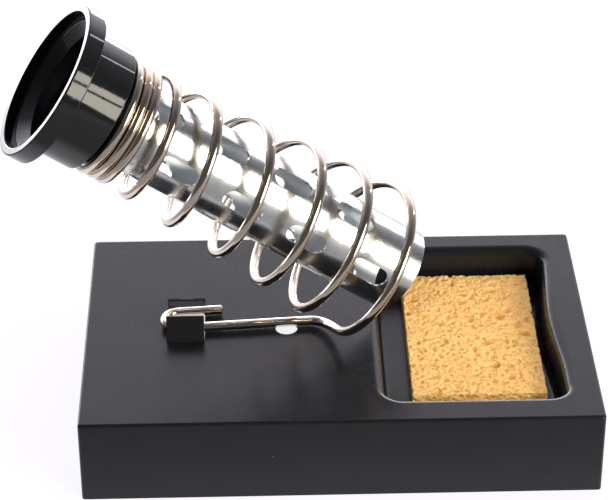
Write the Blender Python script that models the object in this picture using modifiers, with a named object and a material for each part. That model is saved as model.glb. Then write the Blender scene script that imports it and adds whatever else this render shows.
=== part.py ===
"""Soldering iron stand: pressed steel base with a sponge well, and a spring holder clipped onto it.

Units are metres, +Z is up, and the base rests on z = 0. The front of the stand faces -Y, and the
holder rises towards -X. The origin is the centre of the whole stand's box, on the resting plane.
"""
import math

import bmesh
import bpy
from mathutils import Euler, Matrix, Vector

MM = 0.001
GAP = 0.3 * MM
MERGE = 0.01 * MM

# Base: one sheet of steel, drawn into a shallow box that is open below
BASE_LENGTH = 160.0 * MM
BASE_DEPTH = 104.0 * MM
BASE_HEIGHT = 28.0 * MM
SHEET = 0.8 * MM
BASE_CORNER = 1.2 * MM
BASE_EDGE = 0.9 * MM

# Sponge well, measured from the middle of the base
WELL_LEFT = 10.6 * MM
WELL_RIGHT = 72.8 * MM
WELL_FRONT = -43.4 * MM
WELL_BACK = 45.2 * MM
WELL_CORNER = 9.0 * MM
WELL_FLOOR = 14.7 * MM
WELL_LIP = 3.0 * MM
WELL_FOOT = 2.2 * MM
WELL_DRAFT = 0.5 * MM
WELL_BOW = 1.8 * MM
WELL_BOW_MIDDLE = 6.0 * MM
WELL_BOW_REACH = 34.0 * MM

# Sponge
SPONGE_SIZE = Vector((42.4, 67.8, 5.0)) * MM
SPONGE_CENTRE = Vector((44.0, 5.6)) * MM
SPONGE_EDGE = 0.8 * MM

# Wire clip: two doors cut in the top of the base and folded up, leaning towards each other; the
# back one is short and stands on a narrow neck, with the window open on both sides of the neck
CLIP_LEFT = -54.1 * MM
CLIP_RIGHT = -42.1 * MM
CLIP_FRONT = -8.45 * MM
CLIP_BACK = 12.2 * MM
CLIP_WINDOW_BACK = 16.2 * MM
CLIP_LEAN = math.radians(22.0)
FRONT_TAB = 8.8 * MM
BACK_TAB = 4.3 * MM
BACK_TAB_WAIST = 2.0 * MM
BACK_TAB_NECK = 4.4 * MM
TAB_SINK = 0.4 * SHEET
CUT_DEPTH = 3.0 * SHEET
PLATE_HOLE = Vector((-16.0, -1.8)) * MM
PLATE_HOLE_RADIUS = 3.5 * MM

# Holder axis: from the tube's low end up to the bush's mouth
AXIS_RISE = math.radians(35.56)
AXIS_YAW = math.radians(6.16)
AXIS_FOOT = Vector((19.76, 4.24, 45.82)) * MM

# Perforated guide tube
TUBE_RADIUS = 13.6 * MM
TUBE_WALL = 0.8 * MM
TUBE_LENGTH = 118.6 * MM
SLOT_LENGTH = 14.0 * MM
SLOT_WIDTH = 6.3 * MM
SLOT_PITCH = 23.6 * MM
SLOT_FIRST = 14.8 * MM
SLOT_ROWS = 6
SLOTS_IN_ROW = 4
SLOT_CUT_INSIDE = 4.0 * TUBE_WALL
SLOT_CUT_OUTSIDE = 2.0 * TUBE_WALL

# Bakelite bush: distances along the holder axis
BUSH_FOOT = 101.0 * MM
BUSH_NECK = 112.1 * MM
BUSH_FLANGE = 126.0 * MM
BUSH_MOUTH = 131.8 * MM
BUSH_SEAT = 119.0 * MM
BUSH_SEAT_TOP = 120.0 * MM
BUSH_THROAT = 121.0 * MM
BUSH_CONE = 125.4 * MM
BUSH_LEDGE = 128.3 * MM
SPIGOT_RADIUS = 16.2 * MM
NECK_RADIUS = 19.9 * MM
FLANGE_RADIUS = 25.2 * MM
MOUTH_RADIUS = 22.6 * MM
LEDGE_RADIUS = 21.4 * MM
THROAT_RADIUS = 17.8 * MM
BUSH_CHAMFER = 0.5 * MM

# Spring holder, bent from one wire
WIRE_RADIUS = 1.5 * MM
LEG_YAW = math.radians(4.2)
LEG_HEIGHT = BASE_HEIGHT + WIRE_RADIUS + GAP
BEND_CENTRE = Vector((-50.3, 1.1)) * MM
BEND_RADIUS = 4.55 * MM
REAR_LEG = 14.2 * MM
FRONT_LEG = 41.0 * MM
COIL_START = 8.0 * MM
COIL_PITCHES = [16.0 * MM, 15.8 * MM, 17.0 * MM, 18.4 * MM, 16.6 * MM, 9.8 * MM, 3.6 * MM, 3.3 * MM, 3.3 * MM]
COIL_TURNS = 8.55
COIL_WIDE = 24.3 * MM
COIL_TIGHT = 18.1 * MM
COIL_TAPER_TURNS = 6.4
COIL_LEAN = math.radians(2.6)
COIL_OFFSET = 3.7 * MM
COIL_FIRST_ANGLE = math.radians(34.0)

# Steps in each round shape
CORNER_STEPS = 6
SIDE_STEPS = 8
EDGE_STEPS = 3
LIP_STEPS = 4
HOLE_STEPS = 24
TUBE_STEPS = 60
BUSH_STEPS = 64
SLOT_END_STEPS = 8
BEND_STEPS = 10
JOIN_STEPS = 8
COIL_STEPS = 20


def remove_default_objects():
    for obj in list(bpy.data.objects):
        bpy.data.objects.remove(obj, do_unlink=True)


def make_collection(name):
    collection = bpy.data.collections.new(name)
    bpy.context.scene.collection.children.link(collection)
    return collection


def make_material(name, color, roughness, metallic):
    material = bpy.data.materials.new(name)
    material.use_nodes = True
    shader = material.node_tree.nodes["Principled BSDF"]
    shader.inputs["Base Color"].default_value = (*color, 1.0)
    shader.inputs["Roughness"].default_value = roughness
    shader.inputs["Metallic"].default_value = metallic
    return material


def add_object(name, mesh, collection, material=None):
    obj = bpy.data.objects.new(name, mesh)
    collection.objects.link(obj)
    if material:
        mesh.materials.append(material)
    return obj


def add_cutter(name, mesh, collection):
    cutter = add_object(name, mesh, collection)
    cutter.hide_render = True
    cutter.display_type = "WIRE"
    return cutter


def mesh_from_bmesh(bm, name):
    mesh = bpy.data.meshes.new(name)
    bmesh.ops.recalc_face_normals(bm, faces=bm.faces)
    bm.to_mesh(mesh)
    bm.free()
    return mesh


def add_boolean(obj, cutter, operation):
    modifier = obj.modifiers.new(cutter.name, "BOOLEAN")
    modifier.operation = operation
    modifier.object = cutter
    modifier.solver = "EXACT"


def box_mesh(name, low, high):
    bm = bmesh.new()
    bmesh.ops.create_cube(bm, size=1.0)
    size = high - low
    centre = (low + high) / 2
    bmesh.ops.scale(bm, vec=size, verts=bm.verts)
    bmesh.ops.translate(bm, vec=centre, verts=bm.verts)
    return mesh_from_bmesh(bm, name)


def axis_rotation():
    """Turns local +Z onto the holder axis; local +X is then its upper side, and local +Y its rear."""
    return Euler((0.0, AXIS_RISE - math.pi / 2, AXIS_YAW)).to_matrix()


def base_middle():
    """X of the base's middle, so that the bush and the base's far end are equally far from x = 0."""
    axis = axis_rotation() @ Vector((0, 0, 1))
    mouth = AXIS_FOOT.x + BUSH_MOUTH * axis.x
    far_left = mouth - (FLANGE_RADIUS - BUSH_CHAMFER) * math.sqrt(1 - axis.x ** 2)
    return -(far_left + BASE_LENGTH / 2) / 2


def on_axis(radius, angle, along):
    """Point at a radius from the holder axis; angle 0 is below the axis, and 90 degrees in front."""
    local = Vector((-radius * math.cos(angle), -radius * math.sin(angle), along))
    return AXIS_FOOT + axis_rotation() @ local


def right_side(right, front, back, height, bow):
    """Points along the right side, between its corners, bowed inwards by up to bow."""
    points = []
    for step in range(1, SIDE_STEPS):
        y = front + (back - front) * step / SIDE_STEPS
        reach = min(abs(y - WELL_BOW_MIDDLE) / WELL_BOW_REACH, 1.0)
        points.append(Vector((right - bow * (1 + math.cos(math.pi * reach)) / 2, y, height)))
    return points


def rounded_rectangle(left, right, front, back, corner, height, bow=0.0):
    """Points of a rounded rectangle, anticlockwise from its right front corner."""
    points = []
    centres = [
        (right - corner, front + corner, -90),
        (right - corner, back - corner, 0),
        (left + corner, back - corner, 90),
        (left + corner, front + corner, 180),
    ]
    for x, y, first in centres:
        for step in range(CORNER_STEPS + 1):
            angle = math.radians(first + 90 * step / CORNER_STEPS)
            points.append(Vector((x + corner * math.cos(angle), y + corner * math.sin(angle), height)))
        if first == -90:
            points += right_side(right, front + corner, back - corner, height, bow)
    return points


def base_ring(inset, height):
    half_length = BASE_LENGTH / 2 - inset
    half_depth = BASE_DEPTH / 2 - inset
    corner = BASE_CORNER - inset / 2
    return rounded_rectangle(-half_length, half_length, -half_depth, half_depth, corner, height)


def well_ring(inset, height):
    return rounded_rectangle(
        WELL_LEFT + inset,
        WELL_RIGHT - inset,
        WELL_FRONT + inset,
        WELL_BACK - inset,
        WELL_CORNER - inset,
        height,
        WELL_BOW,
    )


def arc_steps(count):
    return [math.pi / 2 * step / count for step in range(count + 1)]


def base_rings():
    """Loops of the sheet's outer face, from the walls' foot over the top and down into the well."""
    rings = [base_ring(0.0, 0.0)]
    for angle in arc_steps(EDGE_STEPS):
        height = BASE_HEIGHT - BASE_EDGE * (1 - math.sin(angle))
        rings.append(base_ring(BASE_EDGE * (1 - math.cos(angle)), height))
    for angle in arc_steps(LIP_STEPS):
        rings.append(well_ring(WELL_LIP * math.sin(angle), BASE_HEIGHT - WELL_LIP * (1 - math.cos(angle))))
    wall_foot = WELL_LIP + WELL_DRAFT
    for angle in arc_steps(EDGE_STEPS):
        inset = wall_foot + WELL_FOOT * (1 - math.cos(angle))
        rings.append(well_ring(inset, WELL_FLOOR + WELL_FOOT * (1 - math.sin(angle))))
    return rings


def base_mesh():
    bm = bmesh.new()
    loops = []
    for ring in base_rings():
        loops.append([bm.verts.new(point) for point in ring])
    for lower, upper in zip(loops, loops[1:]):
        count = len(lower)
        for index in range(count):
            following = (index + 1) % count
            bm.faces.new((lower[index], lower[following], upper[following], upper[index]))
    bm.faces.new(loops[-1])
    return mesh_from_bmesh(bm, "base_shell")


def prism_mesh(name, corners, low, high):
    """A flat outline of (x, y) corners, extruded along Z."""
    bm = bmesh.new()
    rings = [[bm.verts.new((x, y, height)) for x, y in corners] for height in (low, high)]
    count = len(corners)
    for index in range(count):
        following = (index + 1) % count
        bm.faces.new((rings[0][index], rings[0][following], rings[1][following], rings[1][index]))
    bm.faces.new(rings[0][::-1])
    bm.faces.new(rings[1])
    return mesh_from_bmesh(bm, name)


def clip_tab_mesh(name, foot, lean, outline):
    """A folded-up door of the clip; its outline stands on a foot set into the sheet, so the two join."""
    inward = SHEET if lean > 0 else -SHEET
    mesh = prism_mesh(name, outline, min(0.0, inward), max(0.0, inward))
    upright = Matrix(((1, 0, 0), (0, 0, 1), (0, 1, 0))).to_4x4()
    turn = Matrix.Rotation(-lean, 4, "X")
    place = Matrix.Translation(((CLIP_LEFT + CLIP_RIGHT) / 2, foot, BASE_HEIGHT - TAB_SINK))
    mesh.transform(place @ turn @ upright)
    mesh.flip_normals()
    return mesh


def front_tab_outline():
    half = (CLIP_RIGHT - CLIP_LEFT) / 2
    root = TAB_SINK - SHEET
    return [(-half, root), (half, root), (half, FRONT_TAB), (-half, FRONT_TAB)]


def back_tab_outline():
    half = (CLIP_RIGHT - CLIP_LEFT) / 2
    neck = BACK_TAB_NECK / 2
    root = TAB_SINK - SHEET
    left = [(-half, BACK_TAB), (-half, BACK_TAB_WAIST), (-neck, 0.0), (-neck, root)]
    right = [(neck, root), (neck, 0.0), (half, BACK_TAB_WAIST), (half, BACK_TAB)]
    return left + right


def window_outline():
    """The opening under the doors, with the back door's neck left standing in its back edge."""
    middle = (CLIP_LEFT + CLIP_RIGHT) / 2
    neck = BACK_TAB_NECK / 2
    front = CLIP_FRONT + SHEET
    notch = CLIP_BACK - SHEET
    back = CLIP_WINDOW_BACK
    right = [(CLIP_RIGHT, front), (CLIP_RIGHT, back), (middle + neck, back), (middle + neck, notch)]
    left = [(middle - neck, notch), (middle - neck, back), (CLIP_LEFT, back), (CLIP_LEFT, front)]
    return right + left


def add_base(parts, cutters, material):
    base = add_object("base_shell", base_mesh(), parts, material)
    shell = base.modifiers.new("sheet", "SOLIDIFY")
    shell.thickness = SHEET
    shell.offset = -1.0
    shell.use_even_offset = True
    low, high = BASE_HEIGHT - CUT_DEPTH, BASE_HEIGHT + CUT_DEPTH
    window_mesh = prism_mesh("clip_window", window_outline(), low, high)
    window = add_cutter("clip_window", window_mesh, cutters)
    add_boolean(base, window, "DIFFERENCE")
    hole_bm = bmesh.new()
    bmesh.ops.create_cone(
        hole_bm,
        cap_ends=True,
        segments=HOLE_STEPS,
        radius1=PLATE_HOLE_RADIUS,
        radius2=PLATE_HOLE_RADIUS,
        depth=2 * CUT_DEPTH,
        matrix=Matrix.Translation((*PLATE_HOLE, BASE_HEIGHT)),
    )
    hole = add_cutter("plate_hole", mesh_from_bmesh(hole_bm, "plate_hole"), cutters)
    add_boolean(base, hole, "DIFFERENCE")
    tabs = [
        ("tab_front", CLIP_FRONT, CLIP_LEAN, front_tab_outline()),
        ("tab_back", CLIP_BACK, -CLIP_LEAN, back_tab_outline()),
    ]
    for name, foot, lean, outline in tabs:
        tab = add_cutter(name, clip_tab_mesh(name, foot, lean, outline), cutters)
        add_boolean(base, tab, "UNION")
        tab.location.x = base_middle()
    for obj in (base, window, hole):
        obj.location.x = base_middle()
    return base


def add_sponge(parts, material):
    low = Vector((*SPONGE_CENTRE, WELL_FLOOR + GAP)) - Vector((SPONGE_SIZE.x / 2, SPONGE_SIZE.y / 2, 0))
    sponge = add_object("sponge", box_mesh("sponge", low, low + SPONGE_SIZE), parts, material)
    edge = sponge.modifiers.new("edge", "BEVEL")
    edge.width = SPONGE_EDGE
    edge.segments = 1
    sponge.location.x = base_middle()
    return sponge


def turned_mesh_object(name, profile, parts, material, steps):
    """A closed profile of (radius, along) pairs, turned about local Z; it runs down its outer side."""
    mesh = bpy.data.meshes.new(name)
    points = [(radius, 0.0, along) for radius, along in profile]
    edges = [(index, (index + 1) % len(points)) for index in range(len(points))]
    mesh.from_pydata(points, edges, [])
    obj = add_object(name, mesh, parts, material)
    screw = obj.modifiers.new("turn", "SCREW")
    screw.steps = steps
    screw.render_steps = steps
    screw.use_merge_vertices = True
    screw.merge_threshold = MERGE
    return obj


def slot_mesh():
    """All slot cutters in one mesh: obround prisms around the tube, every second row half a pitch on."""
    bm = bmesh.new()
    half = SLOT_WIDTH / 2
    straight = (SLOT_LENGTH - SLOT_WIDTH) / 2
    inner = TUBE_RADIUS - SLOT_CUT_INSIDE
    outer = TUBE_RADIUS + SLOT_CUT_OUTSIDE
    for row in range(SLOT_ROWS):
        turn = Matrix.Rotation(2 * math.pi * (row + 0.5) / SLOT_ROWS, 3, "Z")
        shift = SLOT_PITCH / 2 if row % 2 == 0 else 0.0
        for index in range(SLOTS_IN_ROW):
            centre = SLOT_FIRST + shift + SLOT_PITCH * index
            rings = []
            for radius in (inner, outer):
                ring = []
                for end in (1, -1):
                    for step in range(SLOT_END_STEPS + 1):
                        angle = math.pi * step / SLOT_END_STEPS
                        across = end * half * math.cos(angle)
                        along = centre + end * (straight + half * math.sin(angle))
                        ring.append(bm.verts.new(turn @ Vector((-radius, across, along))))
                rings.append(ring)
            count = len(rings[0])
            for step in range(count):
                following = (step + 1) % count
                bm.faces.new((rings[0][step], rings[0][following], rings[1][following], rings[1][step]))
            bm.faces.new(rings[0][::-1])
            bm.faces.new(rings[1])
    return mesh_from_bmesh(bm, "tube_slots")


def add_tube(parts, cutters, holder, material):
    inner = TUBE_RADIUS - TUBE_WALL
    profile = [(TUBE_RADIUS, TUBE_LENGTH), (TUBE_RADIUS, 0.0), (inner, 0.0), (inner, TUBE_LENGTH)]
    tube = turned_mesh_object("guide_tube", profile, parts, material, TUBE_STEPS)
    tube.parent = holder
    slots = add_cutter("tube_slots", slot_mesh(), cutters)
    slots.parent = holder
    add_boolean(tube, slots, "DIFFERENCE")
    return tube


def add_bush(parts, holder, material):
    bore = TUBE_RADIUS + GAP
    throat_floor = TUBE_RADIUS - TUBE_WALL
    cut = BUSH_CHAMFER
    profile = [
        (FLANGE_RADIUS - cut, BUSH_MOUTH),
        (FLANGE_RADIUS, BUSH_MOUTH - cut),
        (FLANGE_RADIUS, BUSH_FLANGE + cut),
        (FLANGE_RADIUS - cut, BUSH_FLANGE),
        (NECK_RADIUS, BUSH_FLANGE),
        (NECK_RADIUS, BUSH_NECK + cut),
        (NECK_RADIUS - cut, BUSH_NECK),
        (SPIGOT_RADIUS, BUSH_NECK),
        (SPIGOT_RADIUS, BUSH_FOOT),
        (bore, BUSH_FOOT),
        (bore, BUSH_SEAT),
        (throat_floor, BUSH_SEAT),
        (throat_floor, BUSH_SEAT_TOP),
        (THROAT_RADIUS, BUSH_THROAT),
        (THROAT_RADIUS, BUSH_CONE),
        (LEDGE_RADIUS, BUSH_LEDGE),
        (MOUTH_RADIUS, BUSH_LEDGE),
        (MOUTH_RADIUS, BUSH_MOUTH),
    ]
    bush = turned_mesh_object("bush", profile, parts, material, BUSH_STEPS)
    bush.parent = holder
    return bush


def leg_point(along, across):
    """Point of the U-shaped leg: along its length from the bend's centre, and across towards the rear."""
    direction = Vector((math.cos(LEG_YAW), math.sin(LEG_YAW)))
    side = Vector((-direction.y, direction.x))
    spot = BEND_CENTRE + along * direction + across * side
    return Vector((spot.x, spot.y, LEG_HEIGHT))


def coil_along(turn):
    """Distance along the axis after some turns, smoothed through the pitch of each turn."""
    whole = min(int(turn), len(COIL_PITCHES) - 1)
    part = turn - whole
    here = COIL_PITCHES[whole]
    before = COIL_PITCHES[max(whole - 1, 0)]
    after = COIL_PITCHES[min(whole + 1, len(COIL_PITCHES) - 1)]
    start_slope = (before + here) / 2
    end_slope = (here + after) / 2
    slopes = start_slope * (part ** 3 - 2 * part ** 2 + part) + end_slope * (part ** 3 - part ** 2)
    return COIL_START + sum(COIL_PITCHES[:whole]) + here * (3 * part ** 2 - 2 * part ** 3) + slopes


def coil_point(angle):
    """Centre of the wire at an angle from the coil's lowest point, counted up from the base."""
    turn = angle / (2 * math.pi)
    taper = min(turn / COIL_TAPER_TURNS, 1.0)
    radius = COIL_TIGHT + (COIL_WIDE - COIL_TIGHT) * (1 + math.cos(math.pi * taper)) / 2
    along = coil_along(turn) + radius * math.tan(COIL_LEAN) * math.cos(angle) * (1 - taper)
    forward = on_axis(COIL_OFFSET * (1 - taper), math.pi / 2, 0.0) - on_axis(0.0, 0.0, 0.0)
    return on_axis(radius, angle, along) + forward


def blend_points(start, start_direction, end, end_direction, steps):
    """Smooth way between two stretches of wire, without its end points."""
    reach = (end - start).length
    points = []
    for step in range(1, steps):
        t = step / steps
        point = start * (2 * t ** 3 - 3 * t ** 2 + 1)
        point += start_direction * reach * (t ** 3 - 2 * t ** 2 + t)
        point += end * (3 * t ** 2 - 2 * t ** 3)
        point += end_direction * reach * (t ** 3 - t ** 2)
        points.append(point)
    return points


def wire_points():
    points = [leg_point(REAR_LEG, BEND_RADIUS), leg_point(REAR_LEG / 2, BEND_RADIUS)]
    for step in range(BEND_STEPS + 1):
        angle = math.pi / 2 + math.pi * step / BEND_STEPS
        points.append(leg_point(BEND_RADIUS * math.cos(angle), BEND_RADIUS * math.sin(angle)))
    leg_end = leg_point(FRONT_LEG, -BEND_RADIUS)
    points += [leg_point(FRONT_LEG / 2, -BEND_RADIUS), leg_end]
    leg_direction = (leg_end - points[-2]).normalized()
    step_angle = 2 * math.pi / COIL_STEPS
    coil_first = coil_point(COIL_FIRST_ANGLE)
    coil_direction = (coil_point(COIL_FIRST_ANGLE + 0.1 * step_angle) - coil_first).normalized()
    points += blend_points(leg_end, leg_direction, coil_first, coil_direction, JOIN_STEPS)
    angle = COIL_FIRST_ANGLE
    while angle < 2 * math.pi * COIL_TURNS:
        points.append(coil_point(angle))
        angle += step_angle
    return points


def add_spring(parts, material):
    curve = bpy.data.curves.new("spring_holder", "CURVE")
    curve.dimensions = "3D"
    curve.bevel_depth = WIRE_RADIUS
    curve.bevel_resolution = 2
    curve.use_fill_caps = True
    points = wire_points()
    spline = curve.splines.new("POLY")
    spline.points.add(len(points) - 1)
    home = leg_point(0.0, 0.0)
    for spot, point in zip(spline.points, points):
        spot.co = (*(point - home), 1.0)
    curve.materials.append(material)
    spring = bpy.data.objects.new("spring_holder", curve)
    parts.objects.link(spring)
    spring.location = home + Vector((base_middle(), 0, 0))
    return spring


def add_holder_axis(parts):
    holder = bpy.data.objects.new("holder_axis", None)
    parts.objects.link(holder)
    holder.location = AXIS_FOOT + Vector((base_middle(), 0, 0))
    holder.rotation_euler = axis_rotation().to_euler()
    return holder


def shade_round_pieces(pieces):
    for piece in pieces:
        piece.data.shade_smooth()
        piece.data.set_sharp_from_angle(angle=math.radians(30))


def main():
    remove_default_objects()
    parts = make_collection("soldering_iron_stand")
    cutters = make_collection("cutters")
    black_paint = make_material("black_paint", (0.035, 0.035, 0.04), 0.35, 0.0)
    bakelite = make_material("bakelite", (0.012, 0.012, 0.013), 0.12, 0.0)
    zinc = make_material("zinc_plate", (0.72, 0.73, 0.72), 0.25, 1.0)
    nickel = make_material("nickel_plate", (0.78, 0.74, 0.68), 0.12, 1.0)
    cellulose = make_material("cellulose", (0.93, 0.55, 0.18), 0.9, 0.0)
    add_base(parts, cutters, black_paint)
    add_sponge(parts, cellulose)
    add_spring(parts, nickel)
    holder = add_holder_axis(parts)
    tube = add_tube(parts, cutters, holder, zinc)
    bush = add_bush(parts, holder, bakelite)
    shade_round_pieces([tube, bush])


main()
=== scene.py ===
"""Looks of the soldering iron stand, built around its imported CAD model.

Sizes are in metres. Shapes are worked out from the middle of the base, and place() moves each one
into the model's own frame. The front of the stand faces -Y, and the holder rises towards -X.
"""
import math

import bmesh
import bpy
import numpy as np
from mathutils import Euler, Matrix, Vector, kdtree, noise


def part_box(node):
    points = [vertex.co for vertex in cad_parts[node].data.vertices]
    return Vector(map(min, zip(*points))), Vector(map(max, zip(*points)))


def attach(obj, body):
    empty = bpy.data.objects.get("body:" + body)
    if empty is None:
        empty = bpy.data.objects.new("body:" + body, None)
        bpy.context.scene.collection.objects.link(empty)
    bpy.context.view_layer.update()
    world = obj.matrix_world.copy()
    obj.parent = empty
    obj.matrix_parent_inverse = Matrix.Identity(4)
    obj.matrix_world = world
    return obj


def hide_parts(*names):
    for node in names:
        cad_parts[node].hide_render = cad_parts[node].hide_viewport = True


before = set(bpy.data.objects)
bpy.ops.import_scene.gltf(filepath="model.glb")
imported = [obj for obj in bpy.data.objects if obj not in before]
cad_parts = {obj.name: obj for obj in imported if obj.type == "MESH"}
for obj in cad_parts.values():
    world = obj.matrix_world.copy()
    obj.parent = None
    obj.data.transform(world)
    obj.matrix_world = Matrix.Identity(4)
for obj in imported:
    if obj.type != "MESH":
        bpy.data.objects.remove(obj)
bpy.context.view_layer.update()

MM = 0.001
GAP = 0.3 * MM

# Base sheet
base_low, base_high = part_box("base_shell")
MIDDLE = (base_low.x + base_high.x) / 2
BASE_LENGTH = base_high.x - base_low.x
BASE_DEPTH = base_high.y - base_low.y
BASE_HEIGHT = 28.0 * MM
SHEET = 0.8 * MM
BASE_CORNER = 1.2 * MM
BASE_EDGE = 0.9 * MM
WELL_LEFT = 10.6 * MM
WELL_RIGHT = 72.8 * MM
WELL_FRONT = -43.4 * MM
WELL_BACK = 45.2 * MM
WELL_CORNER = 9.0 * MM
WELL_FLOOR = 14.7 * MM
WELL_LIP = 3.0 * MM
WELL_FOOT = 2.2 * MM
WELL_DRAFT = 0.5 * MM
WELL_BOW = 1.8 * MM
WELL_BOW_MIDDLE = 6.0 * MM
WELL_BOW_REACH = 34.0 * MM

# Distance of the edge loops that hold a rounding in shape
SUPPORT = 0.05 * MM

# Wire clip
CLIP_LEFT = -54.1 * MM
CLIP_RIGHT = -42.1 * MM
CLIP_FRONT = -8.45 * MM
CLIP_BACK = 12.2 * MM
CLIP_WINDOW_BACK = 16.2 * MM
CLIP_LEAN = math.radians(22.0)
FRONT_TAB = 8.8 * MM
BACK_TAB = 4.3 * MM
BACK_TAB_WAIST = 2.0 * MM
BACK_TAB_NECK = 4.4 * MM
DOOR_BEND = 0.9 * MM
DOOR_ROOT = 1.6 * MM
DOOR_SINK = 0.01 * MM
PLATE_HOLE = Vector((-16.0, -1.8)) * MM
PLATE_HOLE_RADIUS = 3.5 * MM

# Holder axis
AXIS_RISE = math.radians(35.56)
AXIS_YAW = math.radians(6.16)
AXIS_FOOT = Vector((19.76, 4.24, 45.82)) * MM

# Guide tube
TUBE_RADIUS = 13.6 * MM
TUBE_WALL = 0.8 * MM
TUBE_LENGTH = 118.6 * MM
SLOT_LENGTH = 14.0 * MM
SLOT_WIDTH = 6.3 * MM
SLOT_PITCH = 23.6 * MM
SLOT_FIRST = 14.8 * MM
SLOT_ROWS = 6
SLOTS_IN_ROW = 4

# Bush, with distances along the holder axis
BUSH_FOOT = 101.0 * MM
BUSH_NECK = 112.1 * MM
BUSH_SEAT = 119.0 * MM
BUSH_SEAT_TOP = 120.0 * MM
BUSH_THROAT = 121.0 * MM
BUSH_CONE = 125.4 * MM
BUSH_FLANGE = 126.0 * MM
BUSH_LEDGE = 128.3 * MM
BUSH_MOUTH = 131.74 * MM
SPIGOT_RADIUS = 16.2 * MM
NECK_RADIUS = 19.9 * MM
FLANGE_RADIUS = 25.12 * MM
MOUTH_RADIUS = 22.6 * MM
LEDGE_RADIUS = 21.4 * MM
THROAT_RADIUS = 17.8 * MM

# Spring wire
WIRE_RADIUS = 1.5 * MM
WIRE_CHAMFER = 0.18 * WIRE_RADIUS
WIRE_UV_LENGTH = 100 * MM
LEG_YAW = math.radians(4.2)
LEG_HEIGHT = BASE_HEIGHT + WIRE_RADIUS + GAP
BEND_CENTRE = Vector((-50.3, 1.1)) * MM
BEND_RADIUS = 4.55 * MM
REAR_LEG = 14.2 * MM
FRONT_LEG = 41.0 * MM
COIL_START = 8.0 * MM
COIL_PITCHES = [pitch * MM for pitch in (16.0, 15.8, 17.0, 18.4, 16.6, 9.8, 3.6, 3.3, 3.3)]
COIL_TURNS = 8.55
COIL_WIDE = 24.3 * MM
COIL_TIGHT = 18.1 * MM
COIL_TAPER_TURNS = 6.4
COIL_LEAN = math.radians(2.6)
COIL_OFFSET = 3.7 * MM
COIL_FIRST_ANGLE = math.radians(34.0)

# Eased sheet edges, and how far a cutter reaches past the sheet or the tube wall
EASE_WIDTH = 0.12 * MM
EASE_ANGLE = math.radians(50)
SHEET_CUT = 3 * SHEET
SLOT_CUT_INSIDE = 4 * TUBE_WALL
SLOT_CUT_OUTSIDE = 2 * TUBE_WALL

# Steps in each round shape
CORNER_STEPS = 12
SIDE_STEPS = 32
EDGE_STEPS = 6
LIP_STEPS = 10
HOLE_STEPS = 64
TUBE_STEPS = 144
BUSH_STEPS = 192
SLOT_END_STEPS = 14
BEND_STEPS = 28
JOIN_STEPS = 24
COIL_STEPS = 80
LEG_STEPS = 8
ROUND_STEPS = 5
TUBE_ROWS = 40
WIRE_SIDES = 20


# ---------------------------------------------------------------- mesh helpers

def mesh_from_bmesh(bm, name):
    mesh = bpy.data.meshes.new(name)
    bmesh.ops.recalc_face_normals(bm, faces=bm.faces)
    bm.to_mesh(mesh)
    bm.free()
    return mesh


def bridge(bm, lower, upper):
    """Faces between two rings of vertices, in the rings' own order."""
    faces = []
    for step in range(len(lower)):
        following = (step + 1) % len(lower)
        faces.append(bm.faces.new((lower[step], lower[following], upper[following], upper[step])))
    return faces


def close_ends(bm, first, last):
    bm.faces.new(first[::-1])
    bm.faces.new(last)


def new_object(name, mesh):
    obj = bpy.data.objects.new(name, mesh)
    bpy.context.scene.collection.objects.link(obj)
    return obj


def apply_modifiers(obj):
    """Puts the evaluated mesh in the object's place and drops its modifiers."""
    bpy.context.view_layer.update()
    depsgraph = bpy.context.evaluated_depsgraph_get()
    mesh = bpy.data.meshes.new_from_object(obj.evaluated_get(depsgraph), depsgraph=depsgraph)
    obj.modifiers.clear()
    obj.data = mesh
    return obj


def boolean(obj, cutter, operation):
    modifier = obj.modifiers.new(cutter.name, "BOOLEAN")
    modifier.operation = operation
    modifier.object = cutter
    modifier.solver = "EXACT"
    apply_modifiers(obj)
    bpy.data.objects.remove(cutter, do_unlink=True)


def ease_edges(obj, segments):
    """Takes the sharpness off sheared edges."""
    edge = obj.modifiers.new("edge", "BEVEL")
    edge.width = EASE_WIDTH
    edge.segments = segments
    edge.limit_method = "ANGLE"
    edge.angle_limit = EASE_ANGLE
    return apply_modifiers(obj)


def smooth(obj, degrees):
    obj.data.shade_smooth()
    obj.data.set_sharp_from_angle(angle=math.radians(degrees))


def weigh_normals(obj):
    """Large flat faces keep their own normal, so that small rounded edges don't shade across them."""
    modifier = obj.modifiers.new("normals", "WEIGHTED_NORMAL")
    modifier.keep_sharp = True
    apply_modifiers(obj)


def place(obj, body, slot, *nodes):
    """Moves a piece from the base's middle to the model's frame, parents it to its body, and hides the CAD
    nodes it replaces.
    """
    obj.data.transform(Matrix.Translation((MIDDLE, 0, 0)))
    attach(obj, body)
    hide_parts(*nodes)
    return obj


def quarter(count):
    return [math.pi / 2 * step / count for step in range(count + 1)]


# ---------------------------------------------------------------- material helpers

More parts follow.
